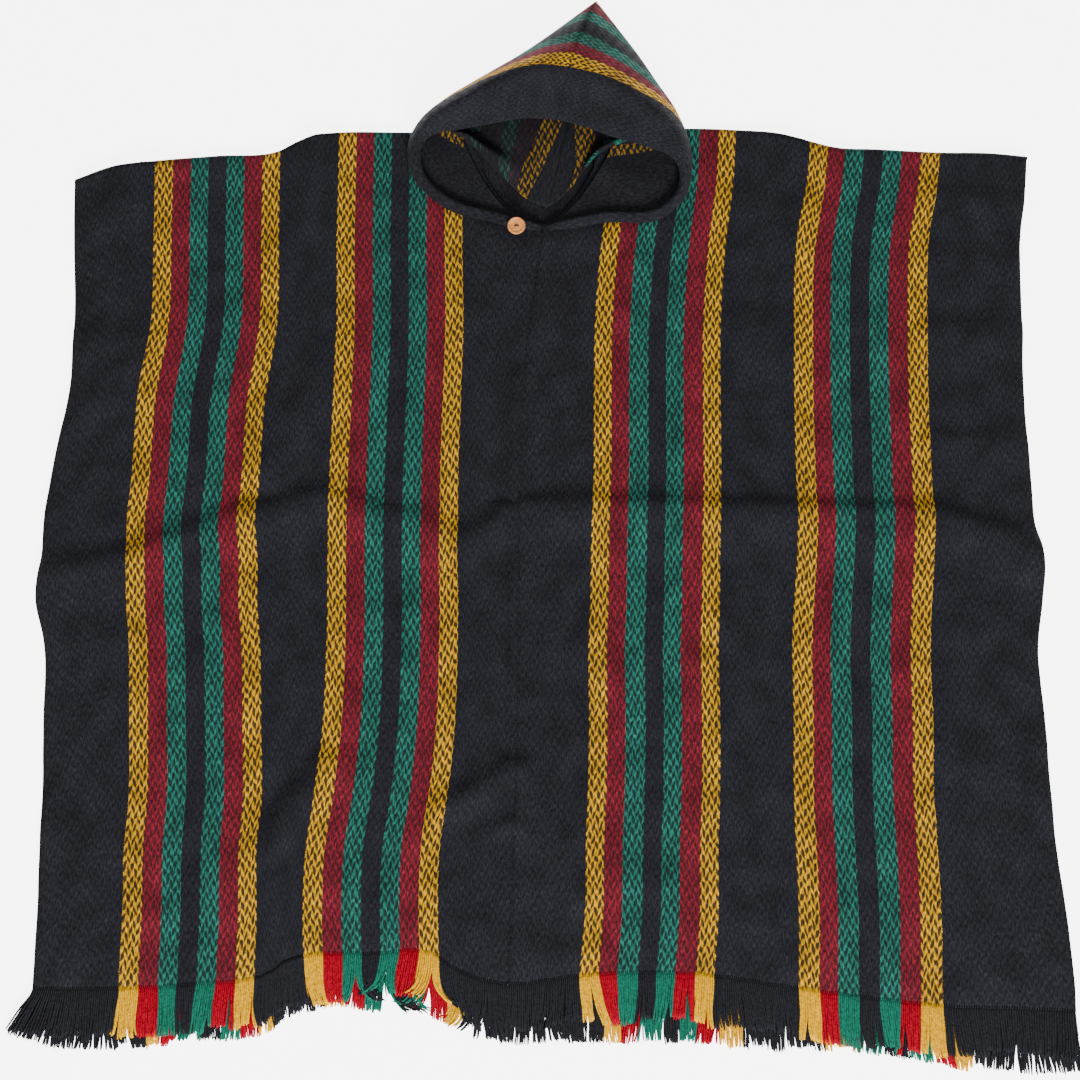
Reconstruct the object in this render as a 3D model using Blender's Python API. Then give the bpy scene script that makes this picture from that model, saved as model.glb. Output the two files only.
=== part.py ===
"""Hooded wool poncho, laid flat on its back.

Two lengths of striped cloth lie side by side. Each is folded over the shoulder, so that it
makes the front and the back on its side, and the two are sewn together down the middle.
A neckline is cut in the middle of the front, and a hood of two halves is sewn round it.
The warp ends are left as fringe along both hems, and one button closes the neck.

Metres, +Z up. +Y points from the hems to the hood and +X to the right, seen from above
with the hood at the top. The tables are in millimetres.
"""

import math

import bmesh
import bpy
import numpy as np

MM = 0.001

# Cloth and seams
CLOTH = 0.003  # thickness of the fulled wool
GAP = 0.0003  # between two pieces at a seam, and between two layers that lie together
LAYER = CLOTH + GAP

# Panels
SHOULDER = 0.434  # Y of the shoulder fold beside the neck
ROLL = 0.003  # radius of the fold over the shoulder, to the middle of the cloth
FRONT = CLOTH / 2 + LAYER  # height of the middle of the front layer where it lies flat
PANEL_ROWS_FRONT = 30
PANEL_ROWS_ROLL = 5
PANEL_ROWS_BACK = 9

# Neckline, measured across the cloth from the middle seam and down from the shoulder
NECK_HALF = 0.070
NECK_DEPTH = 0.108

# Fringe
LOCK_PITCH = 0.0095  # from one lock to the next
FRINGE_STRIP = 0.004  # width of the strip that the roots share
FRINGE = 0.046  # length of a lock beyond the strip
LOCK = 0.0024  # thickness of a lock at its root

# Button
BUTTON_RADIUS = 0.010
BUTTON_THICK = 0.0036
BUTTON_AT = (-0.026, 0.319)

# Widths across each panel, from the middle seam outwards: black, band, black, band, black.
# A band is seven stripes: yellow, red, green, black, green, red, yellow.
LEFT_WIDTHS = (70, 139, 79, 139, 82)
RIGHT_WIDTHS = (70, 139, 80, 146, 108)

# How the cloth lies, down from the shoulder: X of the side edges, of the middle of each
# band and of the middle seam.
LIE = (
    # down, left edge, outer band, inner band, seam, inner band, outer band, right edge
    (0, -518, -361, -156, 5, 149, 374, 545),
    (60, -518, -361, -156, 3, 145, 368, 541),
    (125, -516, -360, -156, 0, 136, 356, 532),
    (220, -511, -359, -154, -12, 128, 350, 529),
    (310, -513, -370, -156, -20, 126, 348, 527),
    (400, -528, -373, -158, -23, 125, 348, 530),
    (445, -533, -376, -158, -24, 123, 348, 531),
    (490, -533, -373, -158, -24, 122, 346, 538),
    (535, -536, -372, -157, -24, 121, 342, 535),
    (575, -526, -368, -157, -24, 119, 339, 528),
    (660, -522, -364, -159, -25, 119, 338, 531),
    (745, -519, -361, -167, -27, 117, 336, 533),
    (785, -519, -363, -173, -29, 115, 337, 535),
    (865, -518, -362, -175, -31, 113, 338, 543),
    (930, -519, -363, -172, -33, 107, 336, 547),
)

# Where the cloth ends, across it from the middle seam: Y of the shoulder fold and the hems.
ENDS = (
    # across, shoulder, front hem, back hem
    (-509, 378, -502, -508),
    (-470, 394, -502, -513),
    (-427, 400, -502, -512),
    (-357, 406, -498, -507),
    (-288, 412, -492, -503),
    (-262, 424, -486, -498),
    (-240, 431, -476, -488),
    (-209, 434, -469, -477),
    (-139, 434, -467, -476),
    (-75, 434, -468, -484),
    (-50, 434, -484, -498),
    (0, 435, -497, -507),
    (70, 437, -489, -508),
    (209, 437, -489, -508),
    (262, 432, -497, -511),
    (289, 424, -501, -513),
    (320, 416, -506, -514),
    (362, 414, -511, -517),
    (435, 410, -519, -530),
    (500, 409, -522, -536),
    (543, 405, -524, -535),
)

# Largest folds of the front, each a soft ridge along a line. A ridge has its own width
# on its upper or left side and on its lower or right side.
FOLDS = (
    # from x, from y, to x, to y, width above, width below, height
    (-529, -70, -444, -54, 16, 34, 8),
    (-444, -54, -301, 1, 14, 34, 8),
    (-301, 1, -232, 15, 12, 34, 7),
    (-232, 15, -80, -32, 14, 30, 6),
    (-80, -32, -16, 6, 12, 26, 6),
    (-16, 6, 196, 3, 12, 36, 8),
    (196, 3, 425, -5, 12, 36, 8),
    (425, -5, 545, -45, 14, 34, 9),
    (428, 79, 510, 77, 10, 16, 3),
    (428, 204, 527, 201, 14, 24, 4),
    (434, 355, 534, 349, 14, 20, 4),
    (-512, 182, -452, 192, 22, 26, 5),
    (-443, 158, -521, 79, 26, 26, 6),
    (-230, 169, -297, 45, 22, 26, 6),
    (-25, 147, -28, -268, 9, 12, 5),
    (-26, -276, -103, -322, 14, 18, 8),
    (-26, -276, 23, -351, 18, 14, 8),
    (23, -351, 39, -412, 18, 14, 7),
    (-225, -278, -288, -361, 18, 24, 8),
    (-288, -361, -262, -470, 22, 20, 6),
    (214, 204, 274, 186, 20, 24, 4),
    (-478, 330, -440, 400, 26, 26, 4),
    (-262, 330, -252, 425, 14, 20, 5),
    (296, 320, 292, 420, 18, 14, 5),
)

# The hood, section by section round the mouth, from the neck point up the left side to the
# crest and down the right side. Each section runs from the face edge over the top of the
# hood to its outer bend, then back underneath to the neck seam.
HOOD = (
    # face edge x, y, z; top x, y, z; outer bend x, y, z; neck seam x, y; ridge
    (2, 321, 14, 1, 317, 16, -1, 310, 12, 1, 322, 0),
    (-42, 342, 14, -45, 335, 17, -47, 326, 12, -36, 341, 0),
    (-90, 359, 16, -95, 351, 21, -99, 341, 13, -60, 371, 0),
    (-120, 382, 19, -128, 378, 25, -136, 373, 15, -75, 399, 0),
    (-127, 407, 28, -138, 408, 34, -146, 408, 18, -84, 418, 0),
    (-114, 420, 36, -120, 432, 47, -134, 437, 19, -87, 429, 2),
    (-88, 424, 40, -86, 447, 60, -104, 461, 18, -65, 410, 11),
    (-57, 429, 43, -48, 466, 67, -58, 489, 14, -42, 383, 12),
    (-18, 435, 45, -6, 482, 70, -10, 521, 12, -17, 358, 12),
    (18, 433, 45, 32, 488, 71, 64, 588, 10, 8, 346, 10),
    (52, 424, 45, 69, 471, 68, 105, 526, 12, 26, 360, 12),
    (80, 414, 43, 104, 454, 63, 130, 491, 14, 42, 382, 12),
    (111, 406, 40, 135, 434, 54, 151, 454, 18, 56, 404, 11),
    (136, 394, 34, 154, 411, 41, 165, 415, 19, 78, 425, 2),
    (148, 378, 27, 160, 384, 32, 167, 384, 18, 78, 411, 0),
    (143, 363, 20, 151, 358, 25, 158, 353, 15, 69, 394, 0),
    (118, 347, 16, 122, 339, 21, 126, 329, 13, 52, 366, 0),
    (68, 343, 14, 69, 336, 18, 70, 327, 12, 32, 341, 0),
    (7, 321, 14, 9, 317, 16, 10, 310, 12, 9, 322, 0),
)
HOOD_SECTIONS = 17  # drawn in each half
HOOD_RUN = 25  # points along each section
UNDER_BEND = 0.013  # how far inside the outer bend the cloth lies flat again
CREST = 9  # the section where the two halves meet
HOOD_EASE = 0.0007  # slack between the hood and what it lies on
NECK_CLEAR = 0.003  # how far inside the neckline the hood starts down to the back

CHARCOAL = (0.016, 0.016, 0.020)
WOOD = (0.60, 0.36, 0.20)


def read_table(rows, at):
    """The columns of a table at the places `at` of its first column.

    Between two rows each column follows a cubic whose slope at a row is the slope between
    the rows on either side. Past the ends it keeps the last value.
    """
    table = np.array(rows, float)
    key, values = table[:, 0], table[:, 1:]
    slope = np.gradient(values, key, axis=0)
    at = np.clip(at, key[0], key[-1])
    low = np.clip(np.searchsorted(key, at, side="right") - 1, 0, len(key) - 2)
    span = (key[low + 1] - key[low])[:, None]
    f = (at - key[low])[:, None] / span
    start = values[low] * (2 * f**3 - 3 * f**2 + 1) + slope[low] * span * (f**3 - 2 * f**2 + f)
    end = values[low + 1] * (3 * f**2 - 2 * f**3) + slope[low + 1] * span * (f**3 - f**2)
    return start + end


def smooth_step(f):
    """0 below 0, 1 above 1, and a smooth rise between."""
    f = np.clip(f, 0.0, 1.0)
    return f * f * (3 - 2 * f)


def cloth_lines():
    """Distances across the cloth, from the middle seam, of its edges and of its bands' edges."""
    left = -np.cumsum(LEFT_WIDTHS)[::-1]
    right = np.cumsum(RIGHT_WIDTHS)
    return np.concatenate([left, [0], right]) * MM


def lines_x(down):
    """X of those edges at distances down the cloth, a row for each. The bands keep their
    width, and the black between them gives."""
    lie = read_table(LIE, down / MM) * MM
    half_left, half_right, half_outer = (
        width / 2 * MM for width in (LEFT_WIDTHS[1], RIGHT_WIDTHS[1], RIGHT_WIDTHS[3])
    )
    return np.stack([
        lie[:, 0],
        lie[:, 1] - half_left, lie[:, 1] + half_left,
        lie[:, 2] - half_left, lie[:, 2] + half_left,
        lie[:, 3],
        lie[:, 4] - half_right, lie[:, 4] + half_right,
        lie[:, 5] - half_outer, lie[:, 5] + half_outer,
        lie[:, 6],
    ], axis=1)


def cloth_x(across, down):
    """X of points on the cloth, between the lines."""
    known = cloth_lines()
    return np.array([np.interp(a, known, row) for a, row in zip(across, lines_x(down))])


def neckline_drop(across):
    """How far below the shoulder the front starts: a deep curve between the two neck ends."""
    share = np.clip(np.abs(across) / NECK_HALF, 0, 1)
    return NECK_DEPTH * (1 - share**2)


def fold_lift(x, y):
    """How far the folds raise the front at points of the plan: each a bell across its line.

    Where folds meet, the cube root of the sum of their cubes keeps the cloth no higher than
    a little above the highest of them.
    """
    cubes = np.zeros(np.broadcast(x, y).shape)
    for x1, y1, x2, y2, above, below, height in np.array(FOLDS, float):
        start = np.array((x1, y1)) * MM
        run = np.array((x2, y2)) * MM - start
        length = math.hypot(*run)
        along = ((x - start[0]) * run[0] + (y - start[1]) * run[1]) / length**2
        side = ((x - start[0]) * run[1] - (y - start[1]) * run[0]) / length
        past = (along - np.clip(along, 0, 1)) * length
        upper = side * np.sign(run[0] if abs(run[0]) > abs(run[1]) else run[1]) < 0
        width = np.where(upper, above, below) * MM
        cubes += (height * MM * np.exp(-(side**2 + past**2) / width**2)) ** 3
    return np.cbrt(cubes)


def settle(down):
    """How far the front stands above its flat lie on its way down from the shoulder fold."""
    return (2 * ROLL - LAYER) * np.exp(-np.maximum(down, 0) / 0.030)


def front_height(x, y, down, to_hem):
    """Height of the middle of the front layer: it settles from the shoulder roll, rises over
    the folds, and lies flat again at the hem and under the hood."""
    under_hood = np.exp(-(((x - 0.01) / 0.20) ** 4) - (((y - 0.40) / 0.085) ** 4))
    calm = smooth_step((to_hem - 0.032) / 0.060) * (1 - under_hood)
    return FRONT + settle(down) + fold_lift(x, y) * calm


def panel_points(across):
    """Points of the middle of one panel: rows from the back hem over the shoulder to the front
    hem, and a column for each distance across the cloth. Also says which cells are cloth."""
    shoulder, front_hem, back_hem = (read_table(ENDS, across / MM) * MM).T
    in_neck = np.abs(across) < NECK_HALF - 1e-6
    rows = []
    for share in np.linspace(0, 1, PANEL_ROWS_BACK + 1):
        y = back_hem + (shoulder - ROLL - back_hem) * share
        x = cloth_x(across, np.maximum(SHOULDER - y, 0))
        rows.append(np.stack([x, y, np.full_like(x, CLOTH / 2)], axis=1))
    for turn in np.linspace(0, math.pi, PANEL_ROWS_ROLL + 1)[1:-1]:
        y = shoulder - ROLL + ROLL * math.sin(turn)
        x = cloth_x(across, np.zeros_like(across))
        z = np.full_like(x, CLOTH / 2 + ROLL * (1 - math.cos(turn)))
        rows.append(np.stack([x, y, z], axis=1))
    top = shoulder - np.where(in_neck, neckline_drop(across), ROLL)
    for share in np.linspace(0, 1, PANEL_ROWS_FRONT + 1):
        y = top + (front_hem - top) * share
        down = shoulder - ROLL - y
        x = cloth_x(across, np.maximum(SHOULDER - y, 0))
        z = front_height(x, y, down, y - front_hem)
        rows.append(np.stack([x, y, z], axis=1))
    points = np.array(rows)
    keep = np.ones((points.shape[0] - 1, points.shape[1] - 1), bool)
    neck_cells = in_neck[:-1] | in_neck[1:]
    keep[PANEL_ROWS_BACK:PANEL_ROWS_BACK + PANEL_ROWS_ROLL, neck_cells] = False
    return points, keep


def support(x, y):
    """Height of the middle of a cloth that lies on what is there: on the front beside the
    neckline, on the back inside it, and on the ground beyond the shoulder."""
    down = max(SHOULDER - y, 0.0)
    across = np.interp(x, lines_x(np.array([down]))[0], cloth_lines())
    inside = 0.0
    if down < NECK_DEPTH:
        edge = NECK_HALF * math.sqrt(1 - down / NECK_DEPTH)
        inside = smooth_step((edge - abs(across) - NECK_CLEAR) / 0.008)
    on_front = FRONT + settle(down) + LAYER + HOOD_EASE
    on_back = CLOTH / 2 + LAYER + HOOD_EASE
    laid = on_front + (on_back - on_front) * inside
    beyond = smooth_step((y - SHOULDER - 0.012) / 0.045)
    return float(laid + (CLOTH / 2 - laid) * beyond)


def hood_section(row):
    """One section of the hood: points of the middle of the cloth, evenly spaced, from the face
    edge over the top and round the outer bend, then underneath to the neck seam."""
    face, top, bend = row[0:3] * MM, row[3:6] * MM, row[6:9] * MM
    neck, ridge = row[9:11] * MM, row[11] * MM
    inward = neck - bend[:2]
    reach = math.hypot(*inward)
    under = []
    for distance in np.linspace(UNDER_BEND, reach, 7):
        place = bend[:2] + inward * distance / reach
        left = reach - distance
        rise = ridge * math.exp(-(((left - 0.012) / 0.010) ** 2))
        under.append((*place, support(*place) + rise))
    control = np.array([face, (face + top) / 2 + (0, 0, 0.0015), top, bend, *under])
    steps = np.linalg.norm(np.diff(control, axis=0), axis=1)
    key = np.concatenate([[0], np.cumsum(np.sqrt(steps))])
    fine = read_table(np.column_stack([key, control]), np.linspace(0, key[-1], 400))
    run = np.concatenate([[0], np.cumsum(np.linalg.norm(np.diff(fine, axis=0), axis=1))])
    even = np.linspace(0, run[-1], HOOD_RUN)
    section = np.stack([np.interp(even, run, fine[:, k]) for k in range(3)], axis=1)
    section[:, 2] = np.maximum(section[:, 2], CLOTH / 2)
    return section


def hood_halves():
    """Points and normals of the two halves of the hood. They share the normals of the crest
    section and lie a seam's gap apart there."""
    rows = np.column_stack([np.arange(len(HOOD)), np.array(HOOD, float)])
    halves = []
    for first, last in ((0, CREST), (CREST, len(HOOD) - 1)):
        drawn = read_table(rows, np.linspace(first, last, HOOD_SECTIONS))
        halves.append(np.array([hood_section(row) for row in drawn]))
    left, right = halves
    crest = np.array(HOOD[CREST], float)
    run = crest[6:8] - crest[0:2]
    sideways = np.array((run[1], -run[0], 0)) / math.hypot(*run)
    left[-1] -= sideways * GAP / 2
    right[0] += sideways * GAP / 2
    normals_left, normals_right = sheet_normals(left), sheet_normals(right)
    shared = normals_left[-1] + normals_right[0]
    shared /= np.linalg.norm(shared, axis=1, keepdims=True)
    normals_left[-1] = normals_right[0] = shared
    return (left, normals_left), (right, normals_right)


def sheet_normals(points, keep=None):
    """Normal at each point of a grid: the mean of the normals of the cells round it."""
    across = points[1:, 1:] - points[:-1, :-1]
    other = points[:-1, 1:] - points[1:, :-1]
    cell = np.cross(other, across)
    if keep is not None:
        cell = cell * keep[..., None]
    normals = np.zeros_like(points)
    for rows in (slice(0, -1), slice(1, None)):
        for columns in (slice(0, -1), slice(1, None)):
            normals[rows, columns] += cell
    length = np.linalg.norm(normals, axis=2, keepdims=True)
    return normals / np.maximum(length, 1e-12)


def cloth_wall(points, normals, keep=None):
    """A closed wall on a grid of points: both faces half a thickness away, and a rim."""
    rows, columns = points.shape[:2]
    if keep is None:
        keep = np.ones((rows - 1, columns - 1), bool)
    offset = normals * CLOTH / 2
    number = np.arange(rows * columns).reshape(rows, columns)
    faces = [
        (number[i, j], number[i, j + 1], number[i + 1, j + 1], number[i + 1, j])
        for i, j in zip(*np.nonzero(keep))
    ]
    edges = {edge for loop in faces for edge in zip(loop, loop[1:] + loop[:1])}
    rim = [(a, b) for a, b in sorted(edges) if (b, a) not in edges]
    total = rows * columns
    faces += [tuple(total + v for v in reversed(loop)) for loop in faces]
    faces += [(b, a, total + a, total + b) for a, b in rim]
    both = np.concatenate([points - offset, points + offset]).reshape(-1, 3)
    used = np.unique(np.array(faces).ravel())
    place = {old: new for new, old in enumerate(used)}
    return both[used], [tuple(place[v] for v in face) for face in faces]


def plain_material(name, colour, roughness):
    """A plain finish for one sub-part."""
    material = bpy.data.materials.new(name)
    material.use_nodes = True
    shader = material.node_tree.nodes["Principled BSDF"]
    shader.inputs["Base Color"].default_value = (*colour, 1.0)
    shader.inputs["Roughness"].default_value = roughness
    shader.inputs["Metallic"].default_value = 0.0
    return material


def add_object(name, verts, faces, material, sharp=40):
    """A named object from points and faces, with its faces turned outwards."""
    mesh = bpy.data.meshes.new(name)
    mesh.from_pydata(np.array(verts).tolist(), [], faces)
    work = bmesh.new()
    work.from_mesh(mesh)
    bmesh.ops.recalc_face_normals(work, faces=work.faces)
    work.to_mesh(mesh)
    work.free()
    mesh.shade_smooth()
    mesh.set_sharp_from_angle(angle=math.radians(sharp))
    mesh.materials.append(material)
    piece = bpy.data.objects.new(name, mesh)
    bpy.context.scene.collection.objects.link(piece)
    return piece


def panel_columns(side):
    """Distances across one panel where its columns stand: at the edges of the bands, and
    between them, and closer round the neckline."""
    lines = cloth_lines()
    middle = len(lines) // 2
    lines = lines[middle:] if side > 0 else -lines[middle::-1]
    black, band = 2, 3
    columns = [np.linspace(GAP / 2, NECK_HALF, 5)]
    for start, end, parts in zip(lines[1:-1], lines[2:], (band, black + 1, band, black)):
        columns.append(np.linspace(start, end, parts + 1)[1:])
    return np.sort(side * np.concatenate(columns))


def make_panels(names):
    """The two lengths of cloth, from the back hem over the shoulder to the front hem. They
    share the normals of the middle seam, so that their edges stay parallel there."""
    left, keep_left = panel_points(panel_columns(-1))
    right, keep_right = panel_points(panel_columns(1))
    normals_left = sheet_normals(left, keep_left)
    normals_right = sheet_normals(right, keep_right)
    shared = normals_left[:, -1] + normals_right[:, 0]
    shared /= np.maximum(np.linalg.norm(shared, axis=1, keepdims=True), 1e-12)
    normals_left[:, -1] = normals_right[:, 0] = shared
    grids = ((left, normals_left, keep_left), (right, normals_right, keep_right))
    for name, (points, normals, keep) in zip(names, grids):
        verts, faces = cloth_wall(points, normals, keep)
        add_object(name, verts, faces, plain_material(name, CHARCOAL, 0.95))


def make_hood_half(name, points, normals):
    """One half of the hood, from the neck point up to the crest seam."""
    verts, faces = cloth_wall(points, normals)
    add_object(name, verts, faces, plain_material(name, CHARCOAL, 0.95), sharp=60)


def hem_line(side, front):
    """Points along a hem of a panel, a lock apart, with one at each of the panel's columns."""
    points, _ = panel_points(panel_columns(side))
    hem = points[-1] if front else points[0]
    line = [hem[:1]]
    for start, end in zip(hem[:-1], hem[1:]):
        locks = max(1, round((end[0] - start[0]) / LOCK_PITCH))
        line.append(np.linspace(start, end, locks + 1)[1:])
    return np.concatenate(line)


def make_fringe(name, side, front):
    """The warp ends along one hem: locks side by side, grown from one narrow strip.

    The strip is a chain of boxes, and each lock is a tapering run of three rings drawn out
    of a box's outer face. A lock leans and bends a little, by sines of its own number, and
    the locks at the side edges spread outwards.
    """
    hem = hem_line(side, front)
    verts = []
    faces = []
    for drop in (GAP, GAP + FRINGE_STRIP):
        for rise in (-LOCK / 2, LOCK / 2):
            verts += [tuple(p + (0, -drop, rise)) for p in hem]
    count = len(hem)
    back_low, back_high, root_low, root_high = (np.arange(count) + k * count for k in range(4))
    faces.append((back_low[0], back_high[0], root_high[0], root_low[0]))
    faces.append((back_low[-1], root_low[-1], root_high[-1], back_high[-1]))
    for k in range(count - 1):
        faces.append((back_low[k], back_low[k + 1], back_high[k + 1], back_high[k]))
        faces.append((back_high[k], back_high[k + 1], root_high[k + 1], root_high[k]))
        faces.append((back_low[k], root_low[k], root_low[k + 1], back_low[k + 1]))
        ring = [root_low[k], root_low[k + 1], root_high[k + 1], root_high[k]]
        middle = (np.array(verts[ring[0]]) + np.array(verts[ring[2]])) / 2
        width = verts[ring[1]][0] - verts[ring[0]][0]
        number = k + (0 if front else 31) + (0 if side > 0 else 77)
        length = FRINGE * (1 + 0.06 * math.sin(number * 2.3) + 0.05 * math.sin(number * 5.1))
        spread = 0.76 * math.exp(-abs(middle[0] + 0.519) / 0.022)
        spread -= 0.12 * math.exp(-abs(middle[0] - 0.547) / 0.02)
        sway = 0.0014 * math.sin(number * 1.7)
        for share, wide, thick in ((0.45, 0.74, 0.9), (1.0, 0.34, 0.5)):
            centre = middle + (
                -spread * length * share * share + sway * share,
                -length * share,
                -0.0003 * share,
            )
            half_w, half_t = width * wide / 2, LOCK * thick / 2
            start = len(verts)
            for dx, dz in ((-1, -1), (1, -1), (1, 1), (-1, 1)):
                verts.append(tuple(centre + (dx * half_w, 0, dz * half_t)))
            new = [start, start + 1, start + 2, start + 3]
            for a in range(4):
                b = (a + 1) % 4
                faces.append((ring[a], ring[b], new[b], new[a]))
            ring = new
        faces.append(tuple(ring))
    add_object(name, verts, faces, plain_material(name, CHARCOAL, 0.95))


def make_button(name, hood_left):
    """A round two-hole wooden button with a raised rim, turned about its own axis. It lies on
    the rolled edge of the hood."""
    radius, thick = BUTTON_RADIUS, BUTTON_THICK
    near = np.hypot(*(hood_left[..., :2] - BUTTON_AT).T) < radius
    ground = float(hood_left[near.T][:, 2].max()) + CLOTH / 2 + GAP
    profile = (
        (0.62, 0.70), (0.74, 0.78), (0.84, 1.0), (0.94, 0.96),
        (1.0, 0.62), (0.98, 0.30), (0.86, 0.06), (0.70, 0.0),
    )
    sides = 28
    verts = []
    for share, height in profile:
        for turn in np.arange(sides) * 2 * math.pi / sides:
            verts.append((
                BUTTON_AT[0] + radius * share * math.cos(turn),
                BUTTON_AT[1] + radius * share * math.sin(turn),
                ground + thick * height,
            ))
    faces = [tuple(range(sides))]
    for ring in range(len(profile) - 1):
        for k in range(sides):
            a, b = ring * sides + k, ring * sides + (k + 1) % sides
            faces.append((a, a + sides, b + sides, b))
    last = (len(profile) - 1) * sides
    faces.append(tuple(last + k for k in reversed(range(sides))))
    button = add_object(name, verts, faces, plain_material(name, WOOD, 0.45), sharp=35)
    for number, place in enumerate((-0.0021, 0.0021)):
        hole = bmesh.new()
        bmesh.ops.create_cone(
            hole, cap_ends=True, segments=10, radius1=0.0009, radius2=0.0009, depth=0.02
        )
        mesh = bpy.data.meshes.new(f"hole_{number}")
        hole.to_mesh(mesh)
        hole.free()
        cutter = bpy.data.objects.new(f"hole_{number}", mesh)
        cutter.location = (BUTTON_AT[0] + place, BUTTON_AT[1], ground + thick / 2)
        cutter.hide_render = True
        cutter.display_type = "WIRE"
        bpy.context.scene.collection.objects.link(cutter)
        cut = button.modifiers.new(f"thread_hole_{number}", "BOOLEAN")
        cut.operation = "DIFFERENCE"
        cut.object = cutter


for old in list(bpy.data.objects):
    bpy.data.objects.remove(old, do_unlink=True)

make_panels(("left_panel", "right_panel"))
halves = hood_halves()
make_hood_half("hood_left", *halves[0])
make_hood_half("hood_right", *halves[1])
for panel_side, side_name in ((-1, "left"), (1, "right")):
    make_fringe(f"fringe_front_{side_name}", panel_side, True)
    make_fringe(f"fringe_back_{side_name}", panel_side, False)
make_button("button", halves[0][0])
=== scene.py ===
"""Hooded wool poncho, laid flat: its striped cloth, its hood, its sewing, fringe and button.

Metres, +Z up. +Y points from the fringed hems to the hood. Tables are in millimetres.
"""

import math

import bpy
import numpy as np
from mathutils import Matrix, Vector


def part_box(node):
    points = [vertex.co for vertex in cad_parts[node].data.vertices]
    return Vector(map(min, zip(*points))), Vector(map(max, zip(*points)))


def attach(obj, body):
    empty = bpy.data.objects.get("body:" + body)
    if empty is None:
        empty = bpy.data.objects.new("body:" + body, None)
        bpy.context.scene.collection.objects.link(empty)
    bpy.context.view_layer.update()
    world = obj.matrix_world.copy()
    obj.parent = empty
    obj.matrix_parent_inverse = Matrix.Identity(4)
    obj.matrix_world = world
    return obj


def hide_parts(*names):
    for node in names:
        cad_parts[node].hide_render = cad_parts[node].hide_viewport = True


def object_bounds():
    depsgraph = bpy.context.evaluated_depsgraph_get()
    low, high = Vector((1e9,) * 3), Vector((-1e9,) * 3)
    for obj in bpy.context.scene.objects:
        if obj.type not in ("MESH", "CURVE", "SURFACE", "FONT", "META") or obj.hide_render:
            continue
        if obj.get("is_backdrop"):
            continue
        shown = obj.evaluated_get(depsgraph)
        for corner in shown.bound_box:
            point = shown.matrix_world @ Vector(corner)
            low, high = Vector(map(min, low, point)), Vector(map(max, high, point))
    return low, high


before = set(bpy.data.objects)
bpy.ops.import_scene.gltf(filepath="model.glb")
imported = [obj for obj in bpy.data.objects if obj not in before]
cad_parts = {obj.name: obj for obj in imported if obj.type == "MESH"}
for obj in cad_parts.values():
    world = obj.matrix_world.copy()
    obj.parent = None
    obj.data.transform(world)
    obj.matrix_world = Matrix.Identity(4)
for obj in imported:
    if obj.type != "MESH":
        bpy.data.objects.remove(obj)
cad_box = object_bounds()

# The two lengths of cloth. Each is one loom width of fulled, brushed wool in a zigzag twill,
# folded over the shoulder so that it makes the front and the back on its side. The warp is
# black with two bands of seven stripes, and the weft is black all through.

MM = 0.001
CLOTH = 0.003  # thickness
LAYER = CLOTH + 0.0003  # from one layer to the next that lies on it
SHOULDER = 0.434  # Y of the shoulder fold beside the neck
ROLL = 0.003  # radius of that fold, to the middle of the cloth
SETTLE_RUN = 0.030  # over which the front comes down from it
FRONT = CLOTH / 2 + LAYER  # height of the middle of the front layer where it lies flat
NECK_HALF = 0.070  # half the neckline's width at the shoulder
NECK_DEPTH = 0.108  # how far the neckline goes down the front
NECK_TOP = 0.050  # the shoulder fold runs in to here, under the hood
SEAM_GAP = 0.00003
BACK_ROWS, ROLL_ROWS, FRONT_ROWS = 90, 10, 190  # of cells: up the back, round, down the front

# Colour of each warp yarn in the cloth, and how much of the weft shows between its floats.
CLOTH_COLOURS = {
    "black": (0.0158, 0.0160, 0.0215, 0.62),
    "yellow": (0.680, 0.345, 0.001, 0.94),
    "red": (0.205, 0.010, 0.022, 0.68),
    "green": (0.013, 0.148, 0.108, 0.86),
}
WEFT = (0.0120, 0.0120, 0.0152, 1.0)
WEFT_IN_PAINTED_SHADE = (0.0076, 0.0076, 0.0094, 1.0)  # the weft darkened by painted shade, where it lies sunk between the floats
VEIL = (0.024, 0.023, 0.028, 1.0)  # loose fibres that stand on the cloth
BAND = ("yellow", "red", "green", "black", "green", "red", "yellow")

# The weave, in mm.
COLUMN = 3.7  # from one column of dashes to the next
REPEAT = 13.2  # from one dash to the next in its column
DASH_REACH = (2.05, 5.8)  # across and along, from the middle of a dash
DASH_LEAN = 0.36  # across for each mm along
WANDER = (2.2, 7.0)  # how far the weave strays in all, across and along
RAGGED = 2.0  # how far the edge of a stripe strays in all

# Widths across each panel from the middle seam outwards, in mm: black, band, black, band, black.
LEFT_WIDTHS = (70, 139, 79, 139, 82)
RIGHT_WIDTHS = (70, 139, 80, 146, 108)

LIE = (
    # down, left edge, outer band, inner band, seam, inner band, outer band, right edge
    (0, -518, -361, -156, 5, 149, 374, 545),
    (60, -518, -361, -156, 3, 145, 368, 541),
    (125, -516, -360, -156, 0, 136, 356, 532),
    (220, -511, -359, -154, -12, 128, 350, 529),
    (310, -513, -370, -156, -20, 126, 348, 527),
    (400, -528, -373, -158, -23, 125, 348, 530),
    (445, -533, -376, -158, -24, 123, 348, 531),
    (490, -533, -373, -158, -24, 122, 346, 538),
    (535, -536, -372, -157, -24, 121, 342, 535),
    (575, -526, -368, -157, -24, 119, 339, 528),
    (660, -522, -364, -159, -25, 119, 338, 531),
    (745, -519, -361, -167, -27, 117, 336, 533),
    (785, -519, -363, -173, -29, 115, 337, 535),
    (865, -518, -362, -175, -31, 113, 338, 543),
    (930, -519, -363, -172, -33, 107, 336, 547),
)
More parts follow.
